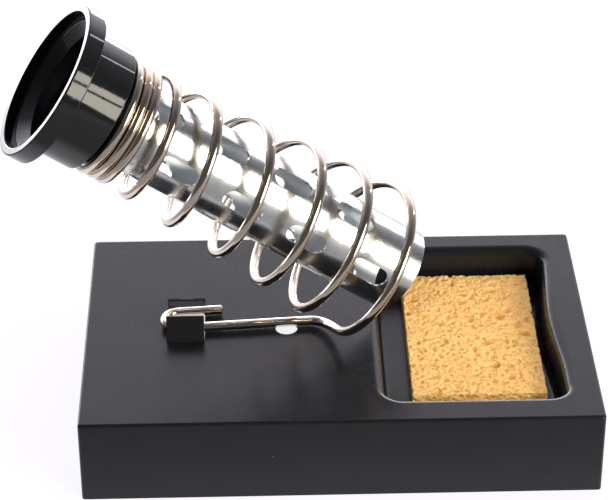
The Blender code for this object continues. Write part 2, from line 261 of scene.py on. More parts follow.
class Surface:
    """A Principled material with short ways to add procedural texture; lengths are in metres."""

    def __init__(self, name, **values):
        self.material = bpy.data.materials.new(name)
        self.material.use_nodes = True
        self.tree = self.material.node_tree
        self.shader = self.tree.nodes["Principled BSDF"]
        for socket, value in values.items():
            self.shader.inputs[socket.replace("_", " ")].default_value = value
        self.coordinates = self.tree.nodes.new("ShaderNodeTexCoord").outputs["Object"]
        self.normal = None

    def link(self, source, target):
        self.tree.links.new(source, target)

    def stretched(self, scale, source):
        mapping = self.tree.nodes.new("ShaderNodeMapping")
        mapping.inputs["Scale"].default_value = scale
        self.link(source, mapping.inputs["Vector"])
        return mapping.outputs["Vector"]

    def noise(self, size, detail=3.0, source=None, roughness=0.55):
        node = self.tree.nodes.new("ShaderNodeTexNoise")
        node.inputs["Scale"].default_value = 1.0 / size
        node.inputs["Detail"].default_value = detail
        node.inputs["Roughness"].default_value = roughness
        self.link(source or self.coordinates, node.inputs["Vector"])
        return node.outputs["Fac"]

    def cells(self, size, output="Distance"):
        node = self.tree.nodes.new("ShaderNodeTexVoronoi")
        node.inputs["Scale"].default_value = 1.0 / size
        node.inputs["Randomness"].default_value = 1.0
        self.link(self.coordinates, node.inputs["Vector"])
        return node.outputs[output]

    def remap(self, source, low, high, to_low, to_high):
        node = self.tree.nodes.new("ShaderNodeMapRange")
        node.inputs["From Min"].default_value = low
        node.inputs["From Max"].default_value = high
        node.inputs["To Min"].default_value = to_low
        node.inputs["To Max"].default_value = to_high
        self.link(source, node.inputs["Value"])
        return node.outputs["Result"]

    def math(self, operation, first, second):
        node = self.tree.nodes.new("ShaderNodeMath")
        node.operation = operation
        for value, target in ((first, node.inputs[0]), (second, node.inputs[1])):
            if isinstance(value, (int, float)):
                target.default_value = value
            else:
                self.link(value, target)
        return node.outputs[0]

    def mix(self, factor, first, second):
        """Colour between first and second; each is a colour or another mix."""
        node = self.tree.nodes.new("ShaderNodeMix")
        node.data_type = "RGBA"
        self.link(factor, node.inputs["Factor"])
        for value, target in ((first, node.inputs[6]), (second, node.inputs[7])):
            if isinstance(value, tuple):
                target.default_value = (*value, 1.0)
            else:
                self.link(value, target)
        return node.outputs[2]

    def bump(self, height, depth):
        node = self.tree.nodes.new("ShaderNodeBump")
        node.inputs["Distance"].default_value = depth
        node.inputs["Strength"].default_value = 1.0
        self.link(height, node.inputs["Height"])
        if self.normal:
            self.link(self.normal, node.inputs["Normal"])
        self.normal = node.outputs["Normal"]
        self.link(self.normal, self.shader.inputs["Normal"])

    def color(self, source):
        self.link(source, self.shader.inputs["Base Color"])

    def roughness(self, source):
        self.link(source, self.shader.inputs["Roughness"])


def specks(surface, size, share, radius):
    """1 in small round specks, in a share of the cells of a given size, and 0 elsewhere."""
    inside = surface.remap(surface.cells(size), radius * 0.7, radius, 1.0, 0.0)
    pick = surface.tree.nodes.new("ShaderNodeSeparateColor")
    surface.link(surface.cells(size, "Color"), pick.inputs["Color"])
    chosen = surface.math("LESS_THAN", pick.outputs["Red"], share)
    return surface.math("MULTIPLY", inside, chosen)


def black_paint():
    """Stoved black enamel on sheet steel: faint orange peel, a few dust specks, uneven gloss."""
    surface = Surface("black_paint", Metallic=0.0, IOR=1.33)
    blotches = surface.noise(14 * MM, 4.0)
    fine = surface.noise(1.1 * MM, 3.0)
    paint = surface.mix(blotches, (0.0125, 0.0120, 0.0150), (0.0180, 0.0172, 0.0215))
    dust = specks(surface, 5.5 * MM, 0.25, 0.035)
    surface.color(surface.mix(dust, paint, (0.22, 0.22, 0.24)))
    broad = surface.remap(blotches, 0.3, 0.7, 0.24, 0.30)
    surface.roughness(surface.math("MULTIPLY", broad, surface.remap(fine, 0.3, 0.7, 0.94, 1.06)))
    surface.bump(surface.noise(22 * MM, 1.0), 0.10 * MM)
    surface.bump(fine, 0.004 * MM)
    surface.bump(dust, 0.03 * MM)
    return surface.material


def bakelite():
    """Polished black thermoset, with a faint waviness and a few light scuffs."""
    surface = Surface("bakelite", Metallic=0.0, IOR=1.46)
    cloud = surface.noise(6 * MM, 4.0)
    surface.color(surface.mix(cloud, (0.0100, 0.0100, 0.0120), (0.0145, 0.0145, 0.0170)))
    scuffs = surface.noise(1.4 * MM, 6.0, roughness=0.7)
    surface.roughness(surface.remap(scuffs, 0.35, 0.75, 0.045, 0.12))
    surface.bump(surface.noise(4 * MM, 2.0), 0.012 * MM)
    surface.bump(scuffs, 0.0012 * MM)
    return surface.material


def zinc():
    """Bright zinc plate on rolled thin steel: cloudy gloss, small marks, and duller inside the tube."""
    surface = Surface("zinc_tube", Metallic=1.0)
    cloud = surface.noise(5 * MM, 5.0, roughness=0.62)
    grain = surface.noise(0.8 * MM, 4.0)
    plate = surface.mix(surface.remap(cloud, 0.35, 0.65, 0.0, 1.0), (0.66, 0.68, 0.69), (0.80, 0.81, 0.80))
    stains = surface.remap(surface.noise(2.2 * MM, 6.0, roughness=0.7), 0.60, 0.78, 0.0, 1.0)
    plate = surface.mix(stains, plate, (0.50, 0.52, 0.50))
    inside = surface.tree.nodes.new("ShaderNodeAttribute")
    inside.attribute_name = "inside"
    dull = inside.outputs["Fac"]
    surface.color(surface.mix(dull, plate, (0.58, 0.62, 0.66)))
    bright = surface.remap(grain, 0.3, 0.7, 0.17, 0.26)
    surface.roughness(surface.math("ADD", bright, surface.math("MULTIPLY", dull, 0.12)))
    surface.bump(surface.noise(9 * MM, 1.0), 0.03 * MM)
    surface.bump(cloud, 0.007 * MM)
    surface.bump(grain, 0.002 * MM)
    return surface.material


def nickel():
    """Bright nickel on drawn spring wire, with faint lines along it."""
    surface = Surface("nickel_wire", Metallic=1.0)
    uv = surface.tree.nodes.new("ShaderNodeUVMap")
    uv.uv_map = "along_wire"
    lines = surface.noise(1.0, 3.0, source=surface.stretched((12.0, 34.0, 1.0), uv.outputs["UV"]))
    cloud = surface.noise(7 * MM, 4.0)
    surface.color(surface.mix(cloud, (0.62, 0.53, 0.44), (0.79, 0.71, 0.61)))
    surface.roughness(surface.remap(lines, 0.3, 0.7, 0.07, 0.16))
    surface.bump(lines, 0.006 * MM)
    surface.bump(surface.noise(3 * MM, 2.0), 0.012 * MM)
    return surface.material


def cellulose():
    """Cellulose sponge with open pores; the pores' depth comes with the mesh, and smaller pores are added
    here as dents. The colour darkened in the pores, more so the deeper they are, is painted shade, and the
    lighter flecks on the raised grain are painted highlight.
    """
    surface = Surface("cellulose_sponge", Metallic=0.0, Roughness=0.95, IOR=1.3)
    surface.shader.inputs["Subsurface Weight"].default_value = 0.35
    surface.shader.inputs["Subsurface Radius"].default_value = (2.2, 1.4, 0.7)
    surface.shader.inputs["Subsurface Scale"].default_value = MM
    depth = surface.tree.nodes.new("ShaderNodeAttribute")
    depth.attribute_name = "pore_depth"
    cloud = surface.noise(6 * MM, 4.0)
    body = surface.mix(cloud, (0.93, 0.52, 0.17), (0.97, 0.60, 0.235))
    # Smallest pores, drawn as dents; the colour darkened in them is painted shade
    tiny_pores_and_shade = surface.remap(surface.cells(1.25 * MM), 0.18, 0.42, 1.0, 0.0)
    tiny_pores_and_shade = surface.math("MULTIPLY", tiny_pores_and_shade, surface.remap(surface.noise(2.5 * MM, 2.0), 0.36, 0.52, 0.0, 1.0))
    # Medium pores, drawn as dents; the colour darkened in them is painted shade
    medium_pores_and_shade = surface.remap(surface.cells(2.1 * MM), 0.16, 0.34, 1.0, 0.0)
    fine = surface.noise(0.45 * MM, 4.0, roughness=0.7)
    # Painted shade: the colour turns a deeper brown the deeper the pore is
    shaded_pores = surface.mix(surface.remap(depth.outputs["Fac"], 0.1, 1.0, 0.0, 1.0), body, (0.70, 0.31, 0.055))
    # Painted shade in the medium and the smallest pores
    shaded_pores = surface.mix(surface.math("MULTIPLY", medium_pores_and_shade, 0.55), shaded_pores, (0.78, 0.42, 0.11))
    shaded_pores = surface.mix(surface.math("MULTIPLY", tiny_pores_and_shade, 0.60), shaded_pores, (0.64, 0.36, 0.10))
    # Painted highlight: lighter flecks where the fine grain stands raised
    surface.color(surface.mix(surface.remap(fine, 0.56, 0.72, 0.0, 0.45), shaded_pores, (1.0, 0.78, 0.42)))
    surface.bump(medium_pores_and_shade, -0.35 * MM)
    surface.bump(tiny_pores_and_shade, -0.25 * MM)
    surface.bump(fine, 0.14 * MM)
    return surface.material


# ---------------------------------------------------------------- base

def outline(left, right, front, back, corner, height, bow=0.0):
    """Points of a rounded rectangle from its right front corner; its right side may bow inwards."""
    centres = [
        (right - corner, front + corner, -90),
        (right - corner, back - corner, 0),
        (left + corner, back - corner, 90),
        (left + corner, front + corner, 180),
    ]
    points = []
    for x, y, first in centres:
        for step in range(CORNER_STEPS + 1):
            angle = math.radians(first + 90 * step / CORNER_STEPS)
            points.append(Vector((x + corner * math.cos(angle), y + corner * math.sin(angle), height)))
        if first == -90:
            for step in range(1, SIDE_STEPS):
                y = front + corner + (back - front - 2 * corner) * step / SIDE_STEPS
                reach = min(abs(y - WELL_BOW_MIDDLE) / WELL_BOW_REACH, 1.0)
                points.append(Vector((right - bow * (1 + math.cos(math.pi * reach)) / 2, y, height)))
    return points


def base_ring(inset, height):
    half_length = BASE_LENGTH / 2 - inset
    half_depth = BASE_DEPTH / 2 - inset
    return outline(-half_length, half_length, -half_depth, half_depth, BASE_CORNER - inset / 2, height)


def well_ring(inset, height):
    sides = (WELL_LEFT + inset, WELL_RIGHT - inset, WELL_FRONT + inset, WELL_BACK - inset)
    return outline(*sides, WELL_CORNER - inset, height, WELL_BOW)


def base_rings():
    """Loops of the sheet's outer face, from the walls' foot over the top and down into the well."""
    rings = [base_ring(0.0, 0.0), base_ring(0.0, BASE_HEIGHT - BASE_EDGE - SUPPORT)]
    for angle in quarter(EDGE_STEPS):
        height = BASE_HEIGHT - BASE_EDGE * (1 - math.sin(angle))
        rings.append(base_ring(BASE_EDGE * (1 - math.cos(angle)), height))
    rings.append(base_ring(BASE_EDGE + SUPPORT, BASE_HEIGHT))
    rings.append(well_ring(-SUPPORT, BASE_HEIGHT))
    for angle in quarter(LIP_STEPS):
        rings.append(well_ring(WELL_LIP * math.sin(angle), BASE_HEIGHT - WELL_LIP * (1 - math.cos(angle))))
    rings.append(well_ring(WELL_LIP, BASE_HEIGHT - WELL_LIP - SUPPORT))
    foot = WELL_LIP + WELL_DRAFT
    rings.append(well_ring(foot, WELL_FLOOR + WELL_FOOT + SUPPORT))
    for angle in quarter(EDGE_STEPS):
        inset = foot + WELL_FOOT * (1 - math.cos(angle))
        rings.append(well_ring(inset, WELL_FLOOR + WELL_FOOT * (1 - math.sin(angle))))
    rings.append(well_ring(foot + WELL_FOOT + SUPPORT, WELL_FLOOR))
    return rings


def door(name, foot, lean, length, waist, neck):
    """A door of the wire clip: a strip of the sheet bent up out of the plate, with eased edges.

    The strip is neck wide at its foot, and reaches the clip's full width at the waist's height.
    """
    side = 1 if lean > 0 else -1
    full = CLIP_RIGHT - CLIP_LEFT
    middle = BASE_HEIGHT - SHEET / 2 - DOOR_SINK
    turn = math.pi / 2 - abs(lean)
    start = foot - side * (DOOR_BEND * math.tan(turn / 2) - SHEET / 2)
    path = [(start - side * DOOR_ROOT, middle, neck)]
    for step in range(EDGE_STEPS + 1):
        angle = turn * step / EDGE_STEPS
        rise = DOOR_BEND * (1 - math.cos(angle))
        path.append((start + side * DOOR_BEND * math.sin(angle), middle + rise, neck))
    last_y, last_z, _ = path[-1]
    for straight in (waist, length):
        reach = straight - DOOR_BEND
        path.append((last_y + side * reach * math.cos(turn), last_z + reach * math.sin(turn), full))
    centre = (CLIP_LEFT + CLIP_RIGHT) / 2
    bm = bmesh.new()
    rows = [[bm.verts.new((centre + way * width / 2, y, z)) for y, z, width in path] for way in (-1, 1)]
    for index in range(len(path) - 1):
        bm.faces.new((rows[0][index], rows[1][index], rows[1][index + 1], rows[0][index + 1]))
    obj = new_object(name, mesh_from_bmesh(bm, name))
    sheet = obj.modifiers.new("sheet", "SOLIDIFY")
    sheet.thickness = SHEET
    sheet.offset = 0.0
    return ease_edges(obj, 3)


def clip_window():
    """The opening under the doors, with the back door's neck left standing in its back edge."""
    middle = (CLIP_LEFT + CLIP_RIGHT) / 2
    neck = BACK_TAB_NECK / 2
    front = CLIP_FRONT + SHEET
    notch = CLIP_BACK - SHEET
    back = CLIP_WINDOW_BACK
    right = [(CLIP_RIGHT, front), (CLIP_RIGHT, back), (middle + neck, back), (middle + neck, notch)]
    left = [(middle - neck, notch), (middle - neck, back), (CLIP_LEFT, back), (CLIP_LEFT, front)]
    corners = right + left
    bm = bmesh.new()
    levels = (BASE_HEIGHT - SHEET_CUT, BASE_HEIGHT + SHEET_CUT)
    rings = [[bm.verts.new((x, y, level)) for x, y in corners] for level in levels]
    bridge(bm, *rings)
    close_ends(bm, *rings)
    return new_object("clip_window", mesh_from_bmesh(bm, "clip_window"))


def plate_hole():
    bm = bmesh.new()
    spot = Matrix.Translation((*PLATE_HOLE, BASE_HEIGHT))
    radius = PLATE_HOLE_RADIUS
    bmesh.ops.create_cone(
        bm, cap_ends=True, segments=HOLE_STEPS, matrix=spot,
        radius1=radius, radius2=radius, depth=2 * SHEET_CUT,
    )
    return new_object("plate_hole", mesh_from_bmesh(bm, "plate_hole"))


def make_base():
    bm = bmesh.new()
    loops = [[bm.verts.new(point) for point in ring] for ring in base_rings()]
    for lower, upper in zip(loops, loops[1:]):
        bridge(bm, lower, upper)
    bm.faces.new(loops[-1])
    base = new_object("pressed_base", mesh_from_bmesh(bm, "pressed_base"))
    shell = base.modifiers.new("sheet", "SOLIDIFY")
    shell.thickness = SHEET
    shell.offset = -1.0
    shell.use_even_offset = True
    apply_modifiers(base)
    full = CLIP_RIGHT - CLIP_LEFT
    boolean(base, clip_window(), "DIFFERENCE")
    boolean(base, plate_hole(), "DIFFERENCE")
    boolean(base, door("door_front", CLIP_FRONT, CLIP_LEAN, FRONT_TAB, FRONT_TAB / 2, full), "UNION")
    boolean(base, door("door_back", CLIP_BACK, -CLIP_LEAN, BACK_TAB, BACK_TAB_WAIST, BACK_TAB_NECK), "UNION")
    base.data.materials.clear()
    base.data.materials.append(black_paint())
    smooth(base, 32)
    weigh_normals(base)
    return place(base, "base", "black_paint", "base_shell")


# ---------------------------------------------------------------- sponge

SPONGE_CELL = 0.42 * MM
SPONGE_SEED = 7
# Pores: how many, smallest and largest radius in millimetres, and steepness
PORE_KINDS = [(1500, 0.34, 0.64, 0.60), (430, 0.64, 1.05, 0.50), (70, 1.1, 1.6, 0.40), (9, 1.8, 2.4, 0.34)]
SIDE_PORE_LARGEST = 0.9 * MM
PORE_DEPTH = 1.5
# Pore depth at which the painted shade in the pores is darkest
PORE_DEPTH_FULL_SHADE = 1.1 * MM
PORE_RAGGED = 0.22
PORE_RAGGED_SIZE = 0.7 * MM
FINE_DEPTH = 0.10
FINE_SIZE = 0.9 * MM
WAVE_DEPTH = 0.34
WAVE_SIZE = 3.1 * MM
WAVE_LEAST = 0.10 * MM
RIM_DEPTH = 0.55
RIM_SIZE = 1.3 * MM
RIM_SHIFT = Vector((3, 1, 8))


def block_grid(low, high):
    """A closed block of nearly square cells, as points and faces."""
    counts = [max(4, round((high[axis] - low[axis]) / SPONGE_CELL)) for axis in range(3)]
    bm = bmesh.new()
    known = {}

    def corner(spot):
        if spot not in known:
            point = [low[axis] + (high[axis] - low[axis]) * spot[axis] / counts[axis] for axis in range(3)]
            known[spot] = bm.verts.new(point)
        return known[spot]

    for axis in range(3):
        first, second = (axis + 1) % 3, (axis + 2) % 3
        for level in (0, counts[axis]):
            for i in range(counts[first]):
                for j in range(counts[second]):
                    face = []
                    for a, b in ((i, j), (i + 1, j), (i + 1, j + 1), (i, j + 1)):
                        spot = [0, 0, 0]
                        spot[axis], spot[first], spot[second] = level, a, b
                        face.append(corner(tuple(spot)))
                    bm.faces.new(face if level else face[::-1])
    return mesh_from_bmesh(bm, "wiping_sponge")


def outward(point, low, high):
    """Direction out of the block at a point of its surface."""
    direction = Vector()
    for axis in range(3):
        if abs(point[axis] - low[axis]) < 1e-7:
            direction[axis] = -1.0
        if abs(point[axis] - high[axis]) < 1e-7:
            direction[axis] = 1.0
    return direction.normalized()


def pore_spots(low, high, random):
    """Centres and sizes of pores on the top and the four sides, in proportion to their areas."""
    size = high - low
    faces = [(2, 1, size.x * size.y), (0, 0, size.y * size.z), (0, 1, size.y * size.z)]
    faces += [(1, 0, size.x * size.z), (1, 1, size.x * size.z)]
    total = sum(area for _, _, area in faces)
    spots = []
    for count, small, large, steepness in PORE_KINDS:
        for axis, end, area in faces:
            for _ in range(round(count * area / total)):
                spot = Vector([low[k] + size[k] * random.random() for k in range(3)])
                spot[axis] = high[axis] if end else low[axis]
                radius = (small + (large - small) * random.random() ** 2) * MM
                if axis != 2:
                    radius = min(radius, SIDE_PORE_LARGEST)
                stretch = 0.62 + 0.38 * random.random()
                spots.append((spot, radius, stretch, random.random() * math.pi, steepness))
    return spots


def make_sponge():
    low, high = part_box("sponge")
    low, high = low - Vector((MIDDLE, 0, 0)), high - Vector((MIDDLE, 0, 0))
    mesh = block_grid(low, high)
    points = [vertex.co.copy() for vertex in mesh.vertices]
    directions = [outward(point, low, high) for point in points]
    tree = kdtree.KDTree(len(points))
    for index, point in enumerate(points):
        tree.insert(point, index)
    tree.balance()
    random = np.random.default_rng(SPONGE_SEED)
    sunk = np.zeros(len(points))
    for spot, radius, stretch, turn, steepness in pore_spots(low, high, random):
        spin = Matrix.Rotation(turn, 3, "Z")
        for point, index, _ in tree.find_range(spot, radius * 1.1):
            local = spin @ (point - spot)
            local.y /= stretch
            edge = 1 + PORE_RAGGED * noise.noise(point / PORE_RAGGED_SIZE)
            reach = local.length / (radius * edge)
            if reach < 1:
                sunk[index] = max(sunk[index], radius * steepness * PORE_DEPTH * (1 - reach ** 3))
    depths = np.zeros(len(points), np.float32)
    top = high.z
    for index, (point, direction) in enumerate(zip(points, directions)):
        exposed = 0.0 if direction.z < -0.1 else 1.0
        rough = FINE_DEPTH * noise.fractal(point / FINE_SIZE, 0.8, 2.0, 3) * MM
        ragged = WAVE_DEPTH * abs(noise.noise(point / WAVE_SIZE)) * MM + WAVE_LEAST
        if 0.1 < direction.z < 0.95:
            ragged += RIM_DEPTH * max(0.0, noise.noise(point / RIM_SIZE + RIM_SHIFT)) * MM
        inward = exposed * (sunk[index] + ragged + rough)
        mesh.vertices[index].co = point - direction * max(0.0, inward)
        depths[index] = min(1.0, exposed * sunk[index] / PORE_DEPTH_FULL_SHADE)
    for vertex in mesh.vertices:
        vertex.co.z = min(vertex.co.z, top)
    # Pore depth, which the sponge's material turns into painted shade
    attribute = mesh.attributes.new("pore_depth", "FLOAT", "POINT")
    attribute.data.foreach_set("value", depths)
    sponge = new_object("wiping_sponge", mesh)
    mesh.materials.append(cellulose())
    mesh.shade_smooth()
    place(sponge, "sponge", "cellulose_sponge", "sponge")
    return sponge


# ---------------------------------------------------------------- spring wire

def axis_rotation():
    """Turns local +Z onto the holder axis; local +X is then its upper side, and local +Y its rear."""
    return Euler((0.0, AXIS_RISE - math.pi / 2, AXIS_YAW)).to_matrix()


AXIS_TURN = axis_rotation()


def on_axis(radius, angle, along):
    """Point at a radius from the holder axis; angle 0 is below the axis, and 90 degrees in front."""
    return AXIS_FOOT + AXIS_TURN @ Vector((-radius * math.cos(angle), -radius * math.sin(angle), along))


def leg_point(along, across):
    direction = Vector((math.cos(LEG_YAW), math.sin(LEG_YAW)))
    side = Vector((-direction.y, direction.x))
    spot = BEND_CENTRE + along * direction + across * side
    return Vector((spot.x, spot.y, LEG_HEIGHT))


def coil_along(turn):
    """Distance along the axis after some turns, smoothed through the pitch of each turn."""
    whole = min(int(turn), len(COIL_PITCHES) - 1)
    part = turn - whole
    here = COIL_PITCHES[whole]
    before = COIL_PITCHES[max(whole - 1, 0)]
    after = COIL_PITCHES[min(whole + 1, len(COIL_PITCHES) - 1)]
    start_slope = (before + here) / 2
    end_slope = (here + after) / 2
    slopes = start_slope * (part ** 3 - 2 * part ** 2 + part) + end_slope * (part ** 3 - part ** 2)
    return COIL_START + sum(COIL_PITCHES[:whole]) + here * (3 * part ** 2 - 2 * part ** 3) + slopes


def coil_point(angle):
    """Centre of the wire at an angle from the coil's lowest point, counted up from the base."""
    turn = angle / (2 * math.pi)
    taper = min(turn / COIL_TAPER_TURNS, 1.0)
    radius = COIL_TIGHT + (COIL_WIDE - COIL_TIGHT) * (1 + math.cos(math.pi * taper)) / 2
    along = coil_along(turn) + radius * math.tan(COIL_LEAN) * math.cos(angle) * (1 - taper)
    forward = on_axis(COIL_OFFSET * (1 - taper), math.pi / 2, 0.0) - AXIS_FOOT
    return on_axis(radius, angle, along) + forward


def blend_points(start, start_direction, end, end_direction, steps):
    """Smooth way between two stretches of wire, without its end points."""
    reach = (end - start).length
    points = []
    for step in range(1, steps):
        t = step / steps
        point = start * (2 * t ** 3 - 3 * t ** 2 + 1)
        point += start_direction * reach * (t ** 3 - 2 * t ** 2 + t)
        point += end * (3 * t ** 2 - 2 * t ** 3)
        point += end_direction * reach * (t ** 3 - t ** 2)
        points.append(point)
    return points


def wire_points():
    points = [leg_point(REAR_LEG * (1 - step / LEG_STEPS), BEND_RADIUS) for step in range(LEG_STEPS)]
    for step in range(BEND_STEPS + 1):
        angle = math.pi / 2 + math.pi * step / BEND_STEPS
        points.append(leg_point(BEND_RADIUS * math.cos(angle), BEND_RADIUS * math.sin(angle)))
    for step in range(1, LEG_STEPS + 1):
        points.append(leg_point(FRONT_LEG * step / LEG_STEPS, -BEND_RADIUS))
    leg_direction = (points[-1] - points[-2]).normalized()
    step_angle = 2 * math.pi / COIL_STEPS
    coil_first = coil_point(COIL_FIRST_ANGLE)
    coil_direction = (coil_point(COIL_FIRST_ANGLE + 0.1 * step_angle) - coil_first).normalized()
    points += blend_points(points[-1], leg_direction, coil_first, coil_direction, JOIN_STEPS)
    angle = COIL_FIRST_ANGLE
    while angle < 2 * math.pi * COIL_TURNS:
        points.append(coil_point(angle))
        angle += step_angle
    return points


def wire_stations(path):
    """Centre, direction and radius at each ring of the wire; both ends are chamfered."""
    tangents = []
    for index in range(len(path)):
        before, after = path[max(index - 1, 0)], path[min(index + 1, len(path) - 1)]
        tangents.append((after - before).normalized())
    shifts = [WIRE_CHAMFER] + [0.0] * (len(path) - 2) + [-WIRE_CHAMFER]
    stations = [(path[0], tangents[0], WIRE_RADIUS - WIRE_CHAMFER)]
    for point, tangent, shift in zip(path, tangents, shifts):
        stations.append((point + tangent * shift, tangent, WIRE_RADIUS))
    stations.append((path[-1], tangents[-1], WIRE_RADIUS - WIRE_CHAMFER))
    return stations


def wire_object(name, path):
    """A round wire along a path; its UV map runs in WIRE_UV_LENGTH along it and in turns round it."""
    stations = wire_stations(path)
    side = stations[0][1].orthogonal().normalized()
    bm = bmesh.new()
    layer = bm.loops.layers.uv.new("along_wire")
    rings = []
    lengths = []
    length = 0.0
    for index, (centre, tangent, size) in enumerate(stations):
        side = (side - tangent * side.dot(tangent)).normalized()
        other = tangent.cross(side)
        ring = []
        for step in range(WIRE_SIDES):
            angle = 2 * math.pi * step / WIRE_SIDES
            ring.append(bm.verts.new(centre + size * (math.cos(angle) * side + math.sin(angle) * other)))
        if index:
            length += (centre - stations[index - 1][0]).length
        rings.append(ring)
        lengths.append(length)
    for index in range(len(rings) - 1):
        spans = (lengths[index], lengths[index], lengths[index + 1], lengths[index + 1])
        for step, face in enumerate(bridge(bm, rings[index], rings[index + 1])):
            turns = (step, step + 1, step + 1, step)
            for loop, turn, span in zip(face.loops, turns, spans):
                loop[layer].uv = (span / WIRE_UV_LENGTH, turn / WIRE_SIDES)
    close_ends(bm, rings[0], rings[-1])
    return new_object(name, mesh_from_bmesh(bm, name))


def make_spring():
    spring = wire_object("spring_wire", wire_points())
    spring.data.materials.append(nickel())
    smooth(spring, 40)
    return place(spring, "holder", "nickel_wire", "spring_holder")


# ---------------------------------------------------------------- turned pieces on the holder axis

def turned(name, profile, steps):
    """A closed profile of (radius, along) pairs, turned about local Z; it runs down its outer side."""
    mesh = bpy.data.meshes.new(name)
    points = [(radius, 0.0, along) for radius, along in profile]
    mesh.from_pydata(points, [(index, (index + 1) % len(points)) for index in range(len(points))], [])
    obj = new_object(name, mesh)
    screw = obj.modifiers.new("turn", "SCREW")
    screw.steps = steps
    screw.render_steps = steps
    screw.use_merge_vertices = True
    screw.merge_threshold = 0.005 * MM
    return apply_modifiers(obj)


def rounded_profile(corners):
    """A closed profile whose corners (radius, along, rounding) are replaced by short curves."""
    points = []
    for index, (radius, along, rounding) in enumerate(corners):
        corner = Vector((radius, along))
        before = Vector(corners[index - 1][:2])
        after = Vector(corners[(index + 1) % len(corners)][:2])
        if not rounding:
            points.append(tuple(corner))
            continue
        back = (before - corner).normalized()
        ahead = (after - corner).normalized()
        start, end = corner + back * rounding, corner + ahead * rounding
        points.append(tuple(start + back * SUPPORT))
        for step in range(ROUND_STEPS + 1):
            t = step / ROUND_STEPS
            spot = start * (1 - t) ** 2 + corner * 2 * t * (1 - t) + end * t ** 2
            points.append(tuple(spot))
        points.append(tuple(end + ahead * SUPPORT))
    return points


def to_axis(obj):
    obj.data.transform(Matrix.Translation(AXIS_FOOT) @ AXIS_TURN.to_4x4())


def slot_cutter():
    """All slot cutters in one mesh: obround prisms around the tube, every second row half a pitch on."""
    bm = bmesh.new()
    half = SLOT_WIDTH / 2
    straight = (SLOT_LENGTH - SLOT_WIDTH) / 2
    for row in range(SLOT_ROWS):
        turn = Matrix.Rotation(2 * math.pi * (row + 0.5) / SLOT_ROWS, 3, "Z")
        shift = SLOT_PITCH / 2 if row % 2 == 0 else 0.0
        for index in range(SLOTS_IN_ROW):
            centre = SLOT_FIRST + shift + SLOT_PITCH * index
            rings = []
            for radius in (TUBE_RADIUS - SLOT_CUT_INSIDE, TUBE_RADIUS + SLOT_CUT_OUTSIDE):
                ring = []
                for end in (1, -1):
                    for step in range(SLOT_END_STEPS + 1):
                        angle = math.pi * step / SLOT_END_STEPS
                        across = end * half * math.cos(angle)
                        along = centre + end * (straight + half * math.sin(angle))
                        ring.append(bm.verts.new(turn @ Vector((-radius, across, along))))
                rings.append(ring)
            bridge(bm, *rings)
            close_ends(bm, *rings)
    return new_object("tube_slots", mesh_from_bmesh(bm, "tube_slots"))


def make_tube():
    inner = TUBE_RADIUS - TUBE_WALL
    levels = [TUBE_LENGTH * (1 - step / TUBE_ROWS) for step in range(TUBE_ROWS + 1)]
    profile = [(TUBE_RADIUS, level) for level in levels] + [(inner, level) for level in reversed(levels)]
    tube = turned("perforated_tube", profile, TUBE_STEPS)
    boolean(tube, slot_cutter(), "DIFFERENCE")
    ease_edges(tube, 2)
    inside = tube.data.attributes.new("inside", "FLOAT", "FACE")
    limit = TUBE_RADIUS - 0.9 * TUBE_WALL
    centres = [math.hypot(face.center.x, face.center.y) for face in tube.data.polygons]
    inside.data.foreach_set("value", [1.0 if centre < limit else 0.0 for centre in centres])
    to_axis(tube)
    tube.data.materials.clear()
    tube.data.materials.append(zinc())
    smooth(tube, 50)
    weigh_normals(tube)
    return place(tube, "guide", "zinc_tube", "guide_tube")


def make_bush():
    bore = TUBE_RADIUS + GAP
    throat_floor = TUBE_RADIUS - TUBE_WALL
    corners = [
        (FLANGE_RADIUS, BUSH_MOUTH, 0.55 * MM),
        (FLANGE_RADIUS, BUSH_FLANGE, 0.5 * MM),
        (NECK_RADIUS, BUSH_FLANGE, 0.3 * MM),
        (NECK_RADIUS, BUSH_NECK, 0.6 * MM),
        (SPIGOT_RADIUS, BUSH_NECK, 0.2 * MM),
        (SPIGOT_RADIUS, BUSH_FOOT, 0.3 * MM),
        (bore, BUSH_FOOT, 0.2 * MM),
        (bore, BUSH_SEAT, 0.0),
        (throat_floor, BUSH_SEAT, 0.0),
        (throat_floor, BUSH_SEAT_TOP, 0.2 * MM),
        (THROAT_RADIUS, BUSH_THROAT, 0.3 * MM),
        (THROAT_RADIUS, BUSH_CONE, 0.3 * MM),
        (LEDGE_RADIUS, BUSH_LEDGE, 0.2 * MM),
        (MOUTH_RADIUS, BUSH_LEDGE, 0.2 * MM),
        (MOUTH_RADIUS, BUSH_MOUTH, 0.35 * MM),
    ]
    bush = turned("bakelite_bush", rounded_profile(corners), BUSH_STEPS)
    to_axis(bush)
    bush.data.materials.append(bakelite())
    smooth(bush, 35)
    return place(bush, "guide", "bakelite", "bush")


# ---------------------------------------------------------------- floor, light and camera

# Where the floor's glow starts and ends, in metres, and how strong each part of it is
FLOOR_FRONT = (-0.100, -0.056)
FLOOR_SIDES = (0.15, 0.22)
FLOOR_BACK = (0.15, 0.45)
FLOOR_LEFT = (-0.35, -0.12)
GLOW_EVERYWHERE = 0.22
GLOW_NEAR = 0.68
GLOW_BACK = 2.6

LAMP_TARGET = Vector((0.0, 0.0, 0.06))

# Brightness of the room from behind the camera (0) to behind the stand (1)
WORLD_STRENGTH = 1.8
WORLD_ENDS = [(0.42, (0.050, 0.049, 0.052, 1.0)), (0.88, (1.0, 0.965, 1.05, 1.0))]
WORLD_STOPS = [(0.56, (0.11, 0.108, 0.118, 1.0)), (0.74, (0.22, 0.214, 0.232, 1.0))]

CAMERA_AZIMUTH = math.radians(-1.2263)
CAMERA_ELEVATION = math.radians(32.668)
CAMERA_ROLL = math.radians(-0.3116)
CAMERA_DISTANCE = 734.54 * MM
CAMERA_TARGET = Vector((-10.233 * MM + MIDDLE, 0.0, 56.326 * MM))
CAMERA_SENSOR = 36.0
CAMERA_LENS = 138.73


